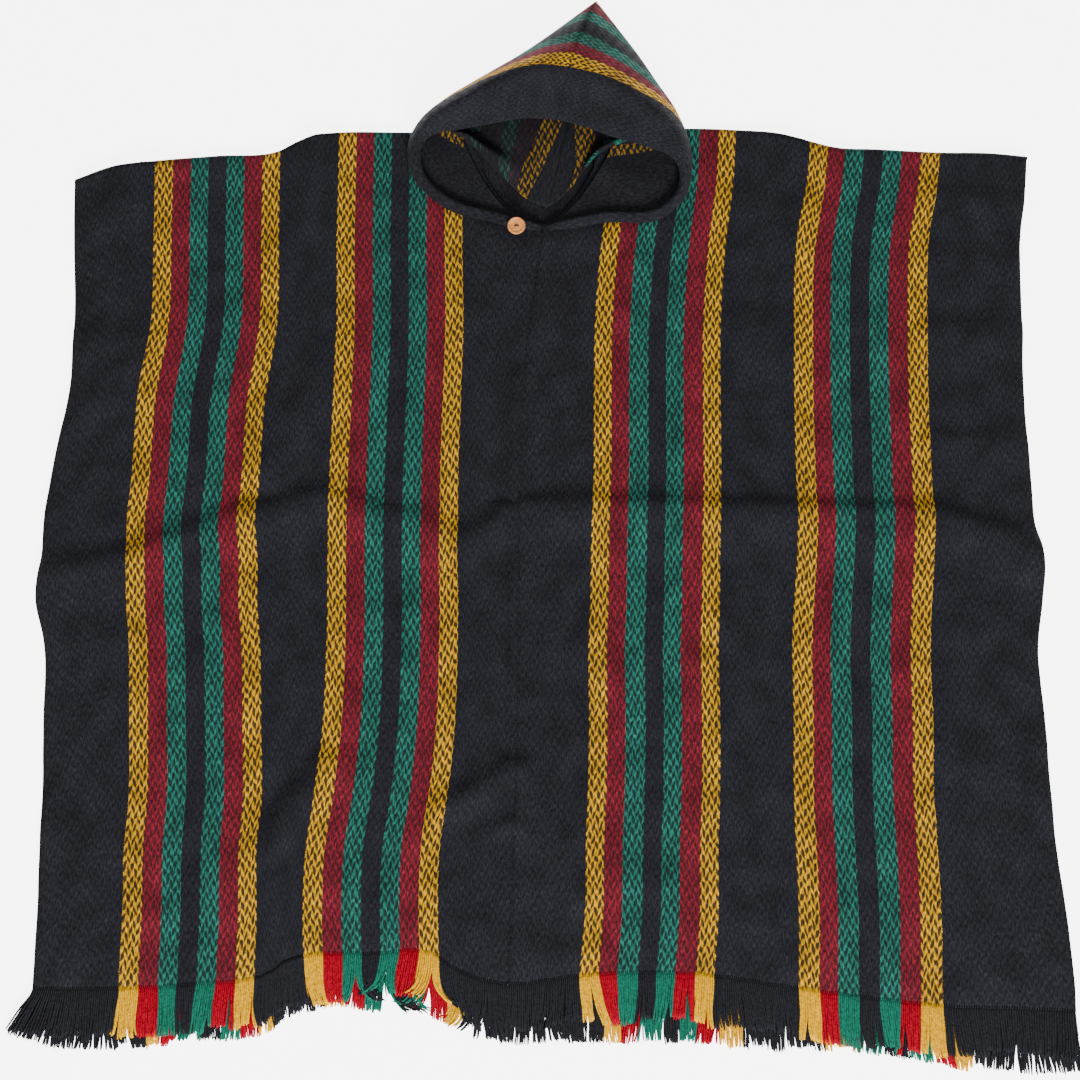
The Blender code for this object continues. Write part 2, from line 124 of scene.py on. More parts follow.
ENDS = (
    # across, shoulder, front hem, back hem
    (-509, 378, -502, -508),
    (-470, 394, -502, -513),
    (-427, 400, -502, -512),
    (-357, 406, -498, -507),
    (-288, 412, -492, -503),
    (-262, 424, -486, -498),
    (-240, 431, -476, -488),
    (-209, 434, -469, -477),
    (-139, 434, -467, -476),
    (-75, 434, -468, -484),
    (-50, 434, -484, -498),
    (0, 435, -497, -507),
    (70, 437, -489, -508),
    (209, 437, -489, -508),
    (262, 432, -497, -511),
    (289, 424, -501, -513),
    (320, 416, -506, -514),
    (362, 414, -511, -517),
    (435, 410, -519, -530),
    (500, 409, -522, -536),
    (543, 405, -524, -535),
)
FOLDS = (
    # from x, from y, to x, to y, width above, width below, height
    (-529, -70, -444, -54, 16, 34, 8),
    (-444, -54, -301, 1, 14, 34, 8),
    (-301, 1, -232, 15, 12, 34, 7),
    (-232, 15, -80, -32, 14, 30, 6),
    (-80, -32, -16, 6, 12, 26, 6),
    (-16, 6, 196, 3, 12, 36, 8),
    (196, 3, 425, -5, 12, 36, 8),
    (425, -5, 545, -45, 14, 34, 9),
    (428, 79, 510, 77, 10, 16, 3),
    (428, 204, 527, 201, 14, 24, 4),
    (434, 355, 534, 349, 14, 20, 4),
    (-512, 182, -452, 192, 22, 26, 5),
    (-443, 158, -521, 79, 26, 26, 6),
    (-230, 169, -297, 45, 22, 26, 6),
    (-25, 147, -28, -268, 9, 12, 5),
    (-26, -276, -103, -322, 14, 18, 8),
    (-26, -276, 23, -351, 18, 14, 8),
    (23, -351, 39, -412, 18, 14, 7),
    (-225, -278, -288, -361, 18, 24, 8),
    (-288, -361, -262, -470, 22, 20, 6),
    (214, 204, 274, 186, 20, 24, 4),
    (-478, 330, -440, 400, 26, 26, 4),
    (-262, 330, -252, 425, 14, 20, 5),
    (296, 320, 292, 420, 18, 14, 5),
)
# Small creases, troughs where the height is below nil.
CREASES = (
    # from x, from y, to x, to y, width above, width below, height
    (-503, 45, -449, 48, 5, 8, 1.4),
    (-37, -5, -36, -262, 4, 4, -1.6),
    (-62, -346, -31, -335, 9, 9, 2.6),
    (-31, -335, 5, -361, 9, 9, 2.6),
    (-86, -38, -43, -10, 7, 10, 2.0),
    (-275, 34, -232, 45, 8, 8, -1.6),
    (279, -16, 387, -10, 5, 8, -1.2),
    (427, -87, 525, -141, 16, 20, 2.2),
    (-509, -141, -448, -97, 18, 20, 1.8),
    (-282, -309, -226, -226, 12, 12, -1.8),
    (64, -54, 53, -205, 14, 14, 1.8),
    (191, -119, 264, -183, 16, 20, 2.2),
    (199, -268, 261, -309, 18, 18, 2.0),
    (425, -257, 522, -309, 20, 22, 2.2),
    (-520, -340, -446, -371, 18, 18, 1.8),
    (60, 204, 110, 238, 16, 16, 1.8),
    (168, 390, 216, 296, 16, 16, 2.2),
    (-122, 296, -132, 204, 14, 14, 1.8),
    (10, 310, 78, 308, 4, 7, 2.4),
    (430, 290, 520, 282, 16, 18, 2.0),
    (300, 150, 330, 60, 16, 16, -1.6),
    (-400, 120, -380, -20, 20, 20, 1.6),
    (360, -380, 350, -470, 18, 18, 1.8),
    (-100, 110, -60, 40, 14, 14, 1.6),
    (40, -160, 110, -230, 18, 18, 1.6),
)
HOOD_COVER = (0.01, 0.40, 0.20, 0.085)  # x and y of what the hood covers, and its reach
HEM_CALM = 0.032  # no fold comes nearer to the hem
CALM_RUN = 0.060  # over which the folds grow from there
HEM_RISE = 0.030  # over which the cloth's unevenness starts at the hem
PUFF = 0.0010  # rise of the soft cloth off the layer below
DEEPEST = 0.0002  # no trough goes deeper than this
UNEVEN = ((0.0009, 3, 0.085), (0.00035, 4, 0.030))  # height, seed, wavelength
HEM_WAVER = 0.0008  # how far the hem strays


def through_rows(rows, at):
    """Columns of a table at the places `at` of its first column. Between two rows each column
    follows a cubic whose slope at a row is the slope between the rows on either side."""
    table = np.array(rows, float)
    key, values = table[:, 0], table[:, 1:]
    slope = np.gradient(values, key, axis=0)
    place = np.clip(at, key[0], key[-1])
    low = np.clip(np.searchsorted(key, place, side="right") - 1, 0, len(key) - 2)
    span = (key[low + 1] - key[low])[..., None]
    f = (place - key[low])[..., None] / span
    start = values[low] * (2 * f**3 - 3 * f**2 + 1) + slope[low] * span * (f**3 - 2 * f**2 + f)
    end = values[low + 1] * (3 * f**2 - 2 * f**3) + slope[low + 1] * span * (f**3 - f**2)
    return start + end


def smooth_step(f):
    """3f^2 - 2f^3 between 0 and 1, level outside."""
    f = np.clip(f, 0.0, 1.0)
    return f * f * (3 - 2 * f)


def cloth_lines():
    """Distances across the cloth, from the middle seam, of its edges and its bands' edges."""
    left = -np.cumsum(LEFT_WIDTHS)[::-1]
    return np.concatenate([left, [0], np.cumsum(RIGHT_WIDTHS)]) * MM


def lines_x(down):
    """X of those lines at distances down the cloth. A band keeps its width, and the black
    between the bands gives."""
    lie = through_rows(LIE, down / MM) * MM
    halves = (LEFT_WIDTHS[3], LEFT_WIDTHS[1], RIGHT_WIDTHS[1], RIGHT_WIDTHS[3])
    columns = [lie[..., 0]]
    for band, half in zip((1, 2, 4, 5), np.array(halves) * MM / 2):
        if band == 4:
            columns.append(lie[..., 3])
        columns += [lie[..., band] - half, lie[..., band] + half]
    return np.stack([*columns, lie[..., 6]], axis=-1)


def cloth_x(across, down):
    """X of a grid of points of the cloth, by straight runs between the lines."""
    known = cloth_lines()
    low = np.clip(np.searchsorted(known, across, side="right") - 1, 0, len(known) - 2)
    f = (across - known[low]) / (known[low + 1] - known[low])
    lines = lines_x(down)
    low = np.broadcast_to(low, down.shape)[..., None]
    start = np.take_along_axis(lines, low, axis=-1)[..., 0]
    end = np.take_along_axis(lines, low + 1, axis=-1)[..., 0]
    return start * (1 - f) + end * f


def bells(rows, x, y):
    """Height over each line of a table: height * exp(-(distance / width)^2), with the row's
    own width on either side of the line. One layer for each row."""
    layers = []
    for x1, y1, x2, y2, above, below, height in np.array(rows, float) * MM:
        run = np.array((x2 - x1, y2 - y1))
        length = math.hypot(*run)
        along = ((x - x1) * run[0] + (y - y1) * run[1]) / length**2
        side = ((x - x1) * run[1] - (y - y1) * run[0]) / length
        past = (along - np.clip(along, 0, 1)) * length
        upper = side * np.sign(run[0] if abs(run[0]) > abs(run[1]) else run[1]) < 0
        layers.append(height * np.exp(-(side**2 + past**2) / np.where(upper, above, below) ** 2))
    return np.array(layers)


def undulation(x, y, seed, wave, count=14):
    """A gentle unevenness, mostly between -1 and 1: the sum of sines in `count` directions,
    0.7 / sqrt(count) high, whose wavelengths are 0.6 to 1.6 times `wave`."""
    rng = np.random.default_rng(seed)
    total = np.zeros(np.broadcast(x, y).shape)
    for turn, size, shift in rng.uniform(0, 1, (count, 3)):
        k = 2 * math.pi / (wave * (0.6 + size))
        turn *= math.pi
        total += np.sin(k * (x * math.cos(turn) + y * math.sin(turn)) + shift * 2 * math.pi)
    return total / math.sqrt(count) * 0.7


def settle(down):
    """How far the front still stands up on its way down from the shoulder fold."""
    return (2 * ROLL - LAYER) * np.exp(-np.maximum(down, 0) / SETTLE_RUN)


def front_height(x, y, down, to_hem):
    """Height of the middle of the front layer: flat height, plus the folds (the cube root of
    the sum of their cubes), the creases and a slow unevenness. All fade at the hem and under
    the hood."""
    hood_x, hood_y, reach_x, reach_y = HOOD_COVER
    under_hood = np.exp(-(((x - hood_x) / reach_x) ** 4) - (((y - hood_y) / reach_y) ** 4))
    calm = smooth_step((to_hem - HEM_CALM) / CALM_RUN) * (1 - under_hood)
    folds = np.cbrt((bells(FOLDS, x, y) ** 3).sum(axis=0))
    creases = bells(CREASES, x, y).sum(axis=0)
    uneven = sum(size * undulation(x, y, seed, wave) for size, seed, wave in UNEVEN)
    near_hem = smooth_step(to_hem / HEM_RISE)
    lift = (folds + creases) * calm + (uneven + PUFF) * (1 - under_hood) * near_hem
    return FRONT + settle(down) + np.maximum(lift, -DEEPEST)


def panel_columns(side, step=0.0058):
    """Distances across one panel, with one at each edge of a band."""
    lines = cloth_lines()
    middle = len(lines) // 2
    lines = np.abs(lines[middle:] if side > 0 else lines[middle::-1])
    lines[0] = SEAM_GAP / 2
    runs = [
        np.linspace(start, end, math.ceil((end - start) / step) + 1)[1:]
        for start, end in zip(lines[:-1], lines[1:])
    ]
    return np.sort(side * np.concatenate([lines[:1], *runs]))


def panel_points(across):
    """Points of the middle of one panel, from the back hem over the shoulder to the front hem,
    and which of its cells are cloth: the front stops at the neckline, whose depth below the
    shoulder is NECK_DEPTH * (1 - (across / NECK_HALF)^2)."""
    shoulder, front_hem, back_hem = (through_rows(ENDS, across / MM) * MM).T
    front_hem = front_hem + HEM_WAVER * undulation(across, 0 * across, 5, 0.012)
    in_neck = np.abs(across) < NECK_HALF - 1e-6
    drop = NECK_DEPTH * (1 - (across / NECK_HALF) ** 2)

    share = np.linspace(0, 1, BACK_ROWS + 1)[:, None]
    back_y = back_hem + (shoulder - ROLL - back_hem) * share
    back = np.stack([
        cloth_x(across, np.maximum(SHOULDER - back_y, 0)), back_y, np.full_like(back_y, CLOTH / 2)
    ], axis=-1)

    turn = np.linspace(0, math.pi, ROLL_ROWS + 1)[1:-1, None]
    roll_y = shoulder - ROLL + ROLL * np.sin(turn)
    roll = np.stack([
        cloth_x(across, np.zeros_like(roll_y)),
        roll_y,
        np.broadcast_to(CLOTH / 2 + ROLL * (1 - np.cos(turn)), roll_y.shape),
    ], axis=-1)

    top = shoulder - np.where(in_neck, drop, ROLL)
    front_y = top + (front_hem - top) * np.linspace(0, 1, FRONT_ROWS + 1)[:, None]
    front_x = cloth_x(across, np.maximum(SHOULDER - front_y, 0))
    height = front_height(front_x, front_y, shoulder - ROLL - front_y, front_y - front_hem)
    front = np.stack([front_x, front_y, height], axis=-1)

    points = np.concatenate([back, roll, front])
    keep = np.ones((len(points) - 1, len(across) - 1), bool)
    cut = np.abs(across) < NECK_TOP
    keep[BACK_ROWS:BACK_ROWS + ROLL_ROWS, cut[:-1] | cut[1:]] = False
    return points, keep


def unit(vectors):
    """Vectors brought to unit length."""
    return vectors / np.maximum(np.linalg.norm(vectors, axis=-1, keepdims=True), 1e-12)


def run_along(points):
    """Distance from the first point along a line of points, or down each column of a grid."""
    step = np.linalg.norm(np.diff(points, axis=0), axis=-1)
    return np.concatenate([np.zeros_like(step[:1]), np.cumsum(step, axis=0)])


def along_line(at, run, line):
    """Points of a line at the runs `at`, by straight steps between its points at `run`."""
    return np.stack([np.interp(at, run, line[:, k]) for k in range(3)], axis=1)


def sheet_normals(points, keep=None):
    """Normal at each point of a grid: the sum of the cross products of the diagonals of the
    cells round it, brought to unit length."""
    cell = np.cross(points[:-1, 1:] - points[1:, :-1], points[1:, 1:] - points[:-1, :-1])
    if keep is not None:
        cell = cell * keep[..., None]
    normals = np.zeros_like(points)
    for rows in (slice(0, -1), slice(1, None)):
        for columns in (slice(0, -1), slice(1, None)):
            normals[rows, columns] += cell
    return unit(normals)


def put_mesh(name, points, faces, uv, finish=0):
    """A smooth named piece from points, faces and a UV for each point, riding on the part.
    `finish` is the material slot of each face."""
    mesh = bpy.data.meshes.new(name)
    mesh.from_pydata(points.tolist(), [], faces.tolist())
    mesh.polygons.foreach_set("material_index", np.zeros(len(faces), np.int32) + finish)
    layer = mesh.uv_layers.new(name="cloth")
    corner = np.zeros(len(mesh.loops), np.int32)
    mesh.loops.foreach_get("vertex_index", corner)
    layer.uv.foreach_set("vector", uv[corner].astype(np.float32).ravel())
    mesh.shade_smooth()
    piece = bpy.data.objects.new(name, mesh)
    bpy.context.scene.collection.objects.link(piece)
    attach(piece, "root")
    return piece


def put_sheet(name, points, normals, uv, keep=None):
    """A closed sheet of cloth: points - half a thickness along the normals for its right side,
    and + for its wrong side, which has finish 1, with a rim round every edge that only one
    cell has."""
    rows, columns = points.shape[:2]
    number = np.arange(rows * columns).reshape(rows, columns)
    cells = np.stack([number[:-1, :-1], number[:-1, 1:], number[1:, 1:], number[1:, :-1]], axis=-1)
    cells = cells.reshape(-1, 4) if keep is None else cells[keep]
    start, end = cells.ravel(), np.roll(cells, -1, axis=1).ravel()
    total = rows * columns
    open_edge = ~np.isin(start * total + end, end * total + start)
    a, b = start[open_edge], end[open_edge]
    rim = np.stack([b + total, a + total, a, b], axis=1)
    faces = np.concatenate([cells[:, ::-1], cells + total, rim])
    offset = normals * CLOTH / 2
    both = np.concatenate([points - offset, points + offset]).reshape(-1, 3)
    used, faces = np.unique(faces, return_inverse=True)
    uv = np.concatenate([uv.reshape(-1, 2)] * 2)
    finish = np.repeat((0, 1, 0), (len(cells), len(cells), len(rim)))
    return put_mesh(name, both[used], faces.reshape(-1, 4), uv[used], finish)


def feed(tree, socket, value):
    """Gives a socket another node's output, or a value of its own."""
    if isinstance(value, bpy.types.NodeSocket):
        tree.links.new(value, socket)
    else:
        socket.default_value = value


def math_node(tree, operation, *values):
    """A math node over numbers and other nodes' outputs."""
    node = tree.nodes.new("ShaderNodeMath")
    node.operation = operation
    for socket, value in zip(node.inputs, values):
        feed(tree, socket, value)
    return node.outputs[0]


def mixed(tree, factor, a, b):
    """Colour `a` where the factor is 0, and `b` where it is 1."""
    node = tree.nodes.new("ShaderNodeMix")
    node.data_type = "RGBA"
    for socket, value in (("Factor", factor), ("A", a), ("B", b)):
        feed(tree, node.inputs[socket], value)
    return node.outputs["Result"]


def shaded(tree, colour, shade):
    """A colour times a number."""
    node = tree.nodes.new("ShaderNodeVectorMath")
    node.operation = "SCALE"
    tree.links.new(colour, node.inputs[0])
    tree.links.new(shade, node.inputs["Scale"])
    return node.outputs[0]


def mm_lengths(tree, coordinates):
    """The first two of some coordinates, in mm."""
    split = tree.nodes.new("ShaderNodeSeparateXYZ")
    tree.links.new(coordinates, split.inputs[0])
    return [math_node(tree, "MULTIPLY", split.outputs[number], 1 / MM) for number in (0, 1)]


def cloth_lengths(tree):
    """Lengths across and along the cloth in mm, from the piece's UV map."""
    uv = tree.nodes.new("ShaderNodeUVMap")
    uv.uv_map = "cloth"
    return mm_lengths(tree, uv.outputs[0])


def flat_noise(tree, across, along, grains, detail):
    """Noise over two lengths in mm. `grains` is how many of its grains go in a mm of each."""
    place = tree.nodes.new("ShaderNodeCombineXYZ")
    for socket, length, count in zip(place.inputs, (across, along), grains):
        tree.links.new(math_node(tree, "MULTIPLY", length, count), socket)
    noise = tree.nodes.new("ShaderNodeTexNoise")
    noise.noise_dimensions = "2D"
    noise.inputs["Scale"].default_value = 1.0
    noise.inputs["Detail"].default_value = detail
    tree.links.new(place.outputs[0], noise.inputs["Vector"])
    return noise


def new_group(name, inputs, outputs):
    """A shader node group with float sockets, and its input and output nodes."""
    group = bpy.data.node_groups.new(name, "ShaderNodeTree")
    for in_out, sockets in (("INPUT", inputs), ("OUTPUT", outputs)):
        for socket in sockets:
            group.interface.new_socket(name=socket, in_out=in_out, socket_type="NodeSocketFloat")
    return group, group.nodes.new("NodeGroupInput"), group.nodes.new("NodeGroupOutput")


def place_group(tree, group, across, along):
    """One of the two patterns below in a material, over two lengths in mm."""
    node = tree.nodes.new("ShaderNodeGroup")
    node.node_tree = group
    tree.links.new(across, node.inputs["Across"])
    tree.links.new(along, node.inputs["Along"])
    return node


def make_weave_group():
    """Zigzag twill. Dark weft dashes stand in columns, leaning left and right by turns and
    half a repeat apart in neighbouring columns. Dash is 1 on a dash, and Relief is the height
    of the floats between them."""
    group, given, result = new_group("zigzag_weave", ("Across", "Along"), ("Dash", "Relief"))
    across, along = given.outputs["Across"], given.outputs["Along"]
    wander = flat_noise(group, across, along, (0.13, 0.10), 1)
    parts = group.nodes.new("ShaderNodeSeparateColor")
    group.links.new(wander.outputs["Color"], parts.inputs[0])
    across, along = [
        math_node(group, "ADD", length, math_node(group, "MULTIPLY_ADD", part, stray, -stray / 2))
        for length, part, stray in zip((across, along), parts.outputs, WANDER)
    ]
    column = math_node(group, "DIVIDE", across, COLUMN)
    odd = math_node(group, "FLOORED_MODULO", math_node(group, "FLOOR", column), 2.0)
    u = math_node(group, "MULTIPLY_ADD", math_node(group, "FRACT", column), COLUMN, -COLUMN / 2)
    row = math_node(group, "MULTIPLY_ADD", odd, 0.5, math_node(group, "DIVIDE", along, REPEAT))
    v = math_node(group, "MULTIPLY_ADD", math_node(group, "FRACT", row), REPEAT, -REPEAT / 2)
    lean = math_node(group, "MULTIPLY_ADD", odd, 2 * DASH_LEAN, -DASH_LEAN)
    slant = math_node(group, "MULTIPLY_ADD", v, lean, u)
    squares = []
    for length, reach in zip((slant, v), DASH_REACH):
        share = math_node(group, "ABSOLUTE", math_node(group, "DIVIDE", length, reach))
        squares.append(math_node(group, "POWER", share, 2.0))
    edge = group.nodes.new("ShaderNodeMapRange")
    edge.interpolation_type = "SMOOTHSTEP"
    for socket, value in zip(("From Min", "From Max", "To Min", "To Max"), (0.20, 1.60, 1.0, 0.0)):
        edge.inputs[socket].default_value = value
    group.links.new(math_node(group, "ADD", *squares), edge.inputs["Value"])
    dash = edge.outputs["Result"]
    group.links.new(dash, result.inputs["Dash"])
    group.links.new(math_node(group, "SUBTRACT", 1.0, dash), result.inputs["Relief"])
    return group


def make_nap_and_mottle_group():
    """Brushed wool. Fibre is the fine streaked fuzz, along the warp. The second output is a slow
    random mottle of painted light and shade."""
    group, given, result = new_group("brushed_nap_and_painted_mottle", ("Across", "Along"), ("Fibre", "PaintedMottle"))
    across, along = given.outputs["Across"], given.outputs["Along"]
    for socket, grains, detail in (("Fibre", (0.75, 0.24), 3), ("PaintedMottle", (0.035, 0.028), 4)):
        noise = flat_noise(group, across, along, grains, detail)
        group.links.new(noise.outputs["Fac"], result.inputs[socket])
    return group


weave = make_weave_group()
# Fine nap, and a slow mottle of painted light and shade.
nap = make_nap_and_mottle_group()


def stripe_ramp(tree, place, stripes, colours):
    """A colour for each stripe in turn, and its last value as alpha. `place` is in mm from
    the first stripe's edge."""
    total = sum(width for width, _ in stripes)
    ramp = tree.nodes.new("ShaderNodeValToRGB")
    ramp.color_ramp.interpolation = "CONSTANT"
    stops = ramp.color_ramp.elements
    start = 0.0
    for number, (width, colour) in enumerate(stripes):
        stop = stops[number] if number < 2 else stops.new(min(start / total, 1.0))
        stop.position = start / total
        stop.color = colours[colour]
        start += width
    tree.links.new(math_node(tree, "DIVIDE", place, total), ramp.inputs["Fac"])
    return ramp


def new_finish(name, roughness, specular):
    """A material with its nodes and its shader, as rough and as glossy as given all over."""
    material = bpy.data.materials.new(name)
    material.use_nodes = True
    shader = material.node_tree.nodes["Principled BSDF"]
    shader.inputs["Roughness"].default_value = roughness
    shader.inputs["Specular IOR Level"].default_value = specular
    return material, material.node_tree, shader


def add_bump(tree, shader, height, strength, distance):
    """A fine relief for the shader, from a height that changes over the surface."""
    bump = tree.nodes.new("ShaderNodeBump")
    bump.inputs["Strength"].default_value = strength
    bump.inputs["Distance"].default_value = distance
    tree.links.new(height, bump.inputs["Height"])
    tree.links.new(bump.outputs["Normal"], shader.inputs["Normal"])


def cloth_finish(name, stripes, first, wrong_side=False):
    """The woven cloth: the warp's stripes with the weft's dashes, darkened by painted shade
    where the weft sinks between the floats, streaked by the nap, mottled by painted light and
    shade, and veiled by loose fibres, and the weave and the fuzz as a fine bump. On the wrong
    side the weft covers all but dots of the warp, which stand square to the piece. `first` is
    where the stripes start, in mm."""
    material, tree, shader = new_finish(name, 0.92, 0.12)
    across, along = cloth_lengths(tree)
    woven = across, along
    if wrong_side:
        woven = mm_lengths(tree, tree.nodes.new("ShaderNodeTexCoord").outputs["Object"])
    pattern = place_group(tree, weave, *woven)
    fibre, painted_mottle = place_group(tree, nap, across, along).outputs[:2]
    ragged = flat_noise(tree, across, along, (0.2, 0.55), 2).outputs["Fac"]
    shift = math_node(tree, "MULTIPLY_ADD", ragged, RAGGED, -RAGGED / 2 - first)
    ramp = stripe_ramp(tree, math_node(tree, "ADD", across, shift), stripes, CLOTH_COLOURS)

    dash = math_node(tree, "MULTIPLY", pattern.outputs["Dash"], ramp.outputs["Alpha"])
    if wrong_side:
        dots = math_node(tree, "MULTIPLY", math_node(tree, "POWER", dash, 4.5), 0.5)
        yarns = mixed(tree, dots, WEFT, ramp.outputs["Color"])
    else:
        # The dashes show the weft, darkened by painted shade.
        yarns = mixed(tree, dash, ramp.outputs["Color"], WEFT_IN_PAINTED_SHADE)
    streaks = math_node(tree, "MULTIPLY_ADD", fibre, 2.7, -0.35)
    # A slow mottle of painted light and shade scales the colour.
    mottle_shade = math_node(tree, "MULTIPLY_ADD", painted_mottle, 1.2, 0.40)
    brushed = shaded(tree, yarns, math_node(tree, "MULTIPLY", streaks, mottle_shade))
    veiled = mixed(tree, math_node(tree, "MULTIPLY", fibre, 0.16), brushed, VEIL)
    tree.links.new(veiled, shader.inputs["Base Color"])

    height = math_node(tree, "MULTIPLY_ADD", fibre, 0.55, pattern.outputs["Relief"])
    add_bump(tree, shader, height, 0.55, 0.0007)
    shader.inputs["Sheen Weight"].default_value = 0.03
    shader.inputs["Sheen Roughness"].default_value = 0.55
    shader.inputs["Sheen Tint"].default_value = (0.62, 0.64, 0.72, 1.0)
    return material


def panel_stripes(widths):
    """Stripes from the middle seam outwards: black and bands by turns, a band in sevenths."""
    stripes = []
    for number, width in enumerate(widths):
        names = BAND if number % 2 else ("black",)
        stripes += [(width / len(names), name) for name in names]
    return stripes


BACK_SKEW = 0.026  # how far the back's stripes have slid sideways at its hem
HEM_ROWS = 3  # rows over which the cloth thins towards its hem
HEM_SHARE = 0.45  # share of its thickness that is left there, where the weft ends


def panel_uv(points, across):
    """Across from the seam, less the slide of the back, and the run of cloth down each column."""
    share = np.clip(1 - np.arange(len(points)) / BACK_ROWS, 0, 1)[:, None]
    return np.stack([across - BACK_SKEW * share, run_along(points)], axis=-1)


left_across, right_across = panel_columns(-1), panel_columns(1)
left_points, left_keep = panel_points(left_across)
right_points, right_keep = panel_points(right_across)
left_normals = sheet_normals(left_points, left_keep)
right_normals = sheet_normals(right_points, right_keep)
seam_normals = unit(left_normals[:, -1] + right_normals[:, 0])
left_normals[:, -1] = right_normals[:, 0] = seam_normals

row = np.arange(len(left_points))
hem_thin = smooth_step(np.minimum(row, row[::-1]) / HEM_ROWS)[:, None, None]
hem_thin = HEM_SHARE + (1 - HEM_SHARE) * hem_thin
left_cloth = put_sheet(
    "left_cloth",
    left_points,
    left_normals * hem_thin,
    panel_uv(left_points, left_across),
    left_keep,
)
right_cloth = put_sheet(
    "right_cloth",
    right_points,
    right_normals * hem_thin,
    panel_uv(right_points, right_across),
    right_keep,
)
left_stripes = panel_stripes(LEFT_WIDTHS)[::-1]
right_stripes = panel_stripes(RIGHT_WIDTHS)
for cloth, node, side_name, stripes, first in (
    (left_cloth, "left_panel", "left", left_stripes, -sum(LEFT_WIDTHS)),
    (right_cloth, "right_panel", "right", right_stripes, 0),
):
    cloth.data.materials.append(cloth_finish(f"{side_name}_wool", stripes, first))
    cloth.data.materials.append(cloth_finish(f"{side_name}_wool_inside", stripes, first, True))
    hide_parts(node)

# The hood: two halves of the same cloth, sewn together along the crest and to the neckline
# below. The warp runs round the face, so one band of stripes goes round the hood, behind a
# broad black border. It lies collapsed, with its mouth open and its tip on the floor.

HOOD = (
    # face edge x, y, z; top x, y, z; outer bend x, y, z; neck seam x, y; ridge; grain at the neck
    (2, 321, 14, 1, 317, 16, -1, 310, 12, 1, 322, 0, 8),
    (-44, 335, 14, -46, 331, 16, -47, 326, 12, -36, 341, 0, 30),
    (-95, 350, 15, -97, 346, 18, -99, 341, 12, -60, 371, 0, 45),
    (-127, 378, 17, -131, 376, 21, -136, 373, 13, -75, 399, 0, 54),
    (-133, 407, 26, -140, 408, 31, -146, 408, 17, -84, 418, 0, 62),
    (-116, 421, 36, -122, 432, 46, -135, 439, 19, -87, 429, 2, 80),
    (-88, 424, 40, -87, 449, 60, -106, 467, 18, -65, 410, 11, 113),
    (-57, 429, 43, -49, 469, 67, -60, 498, 14, -42, 383, 12, 144),
    (-18, 435, 45, -7, 485, 70, -10, 532, 12, -17, 358, 12, 196),
    (18, 433, 45, 32, 488, 71, 64, 591, 10, 8, 346, 10, 216),
    (52, 424, 45, 69, 472, 68, 107, 529, 12, 26, 360, 12, 208),
    (80, 414, 43, 104, 454, 63, 130, 491, 14, 42, 382, 12, 164),
    (111, 406, 40, 135, 434, 54, 151, 454, 18, 56, 404, 11, 138),
    (142, 397, 33, 156, 411, 39, 165, 415, 19, 78, 425, 2, 100),
    (155, 381, 25, 162, 383, 29, 167, 384, 17, 78, 411, 0, 66),
    (150, 358, 17, 154, 356, 21, 158, 353, 13, 69, 394, 0, 55),
    (122, 338, 15, 124, 334, 18, 126, 329, 12, 52, 366, 0, 45),
    (69, 336, 14, 69, 332, 16, 70, 327, 12, 32, 341, 0, 30),
    (7, 321, 14, 9, 317, 16, 10, 310, 12, 9, 322, 0, 8),
)
CREST = 9  # the section where the two halves meet
HOOD_SECTIONS = 110  # in each half
HOOD_RUN = 120  # points in each section
HOOD_CLEAR = 0.0007  # from the hood's cloth to what it lies on
INSIDE_NECK = (0.003, 0.008)  # it starts down this far inside the neckline, over this run
PAST_SHOULDER = (0.012, 0.045)  # and this far past the shoulder, over this run
UNDER_BEND = 0.013  # from the outer bend to the first point underneath
FACE_SWELL = 0.0015  # rise of the cloth between the face edge and the top
RIDGE = (0.012, 0.010, 0.005)  # distance from the neck seam, width, and run of its foot
NECK_SINK = 0.75  # share of the roll that is gone at the neck point
SINK_RUN = 0.10  # share of a half over which it goes
FREE_FROM = 0.018  # the cloth stands free above this height
FREE_RISE = 0.020  # and wholly free this far above that
HOOD_UNEVEN = 0.0011
HOOD_BORDER = 58  # mm of black in front of the band
HOOD_STRIPES = (
    (HOOD_BORDER, "black"), *zip((17, 19, 20, 23, 21, 21, 20), BAND), (150, "black"),
)


def resting_height(x, y):
    """Height of the middle of the hood's cloth where it lies: on the front beside the
    neckline, on the back inside it, and on the floor beyond the shoulder."""
    down = np.maximum(SHOULDER - y, 0.0)
    lie = through_rows(LIE, down / MM) * MM
    seam = lie[..., 3]
    left = lie[..., 2] + LEFT_WIDTHS[1] / 2 * MM
    right = lie[..., 4] - RIGHT_WIDTHS[1] / 2 * MM
    share = np.where(x > seam, (x - seam) / (right - seam), (seam - x) / (seam - left))
    edge = np.sqrt(np.clip(1 - down / NECK_DEPTH, 0, 1))
    past, run = INSIDE_NECK
    inside = smooth_step(((edge - share) * NECK_HALF - past) / run) * (down < NECK_DEPTH)
    on_front = FRONT + settle(down) + LAYER + HOOD_CLEAR
    on_back = CLOTH / 2 + LAYER + HOOD_CLEAR
    laid = on_front + (on_back - on_front) * inside
    past, run = PAST_SHOULDER
    beyond = smooth_step((y - SHOULDER - past) / run)
    return laid + (CLOTH / 2 - laid) * beyond


